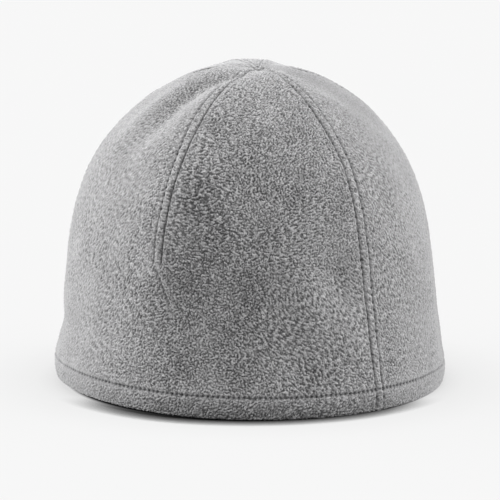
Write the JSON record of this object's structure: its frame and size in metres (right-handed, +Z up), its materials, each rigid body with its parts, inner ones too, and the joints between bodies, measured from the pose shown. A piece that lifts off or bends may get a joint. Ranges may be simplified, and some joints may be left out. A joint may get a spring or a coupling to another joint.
{
  "type": "fleece cap",
  "caption": "Domed pull-on cap of short-pile fleece, sewn from two halves with darts and a turned-up hem, standing by itself on its open rim.",
  "frame": {"origin": "on the surface the cap stands on, below the middle of the cap", "axes": "+Z up through the crown, -Y towards the side seen in the picture, +X to the right of that side"},
  "size_m": [0.1903, 0.1972, 0.1556],
  "materials": {
    "fleece": "brushed short-pile grey fleece, matt with a soft sheen at grazing angles",
    "seam_fleece": "the same fleece, felled and topstitched with grey thread",
    "hem_fleece": "the same fleece, turned up and stitched with one row of grey thread"
  },
  "bodies": {
    "root": {"crown_left": "fleece", "crown_right": "fleece", "centre_seam_welt": "seam_fleece", "dart_welt_front_left": "seam_fleece", "dart_welt_left": "seam_fleece", "dart_welt_right": "seam_fleece", "dart_welt_back_right": "seam_fleece", "hem_band": "hem_fleece"}
  },
  "joints": []
}
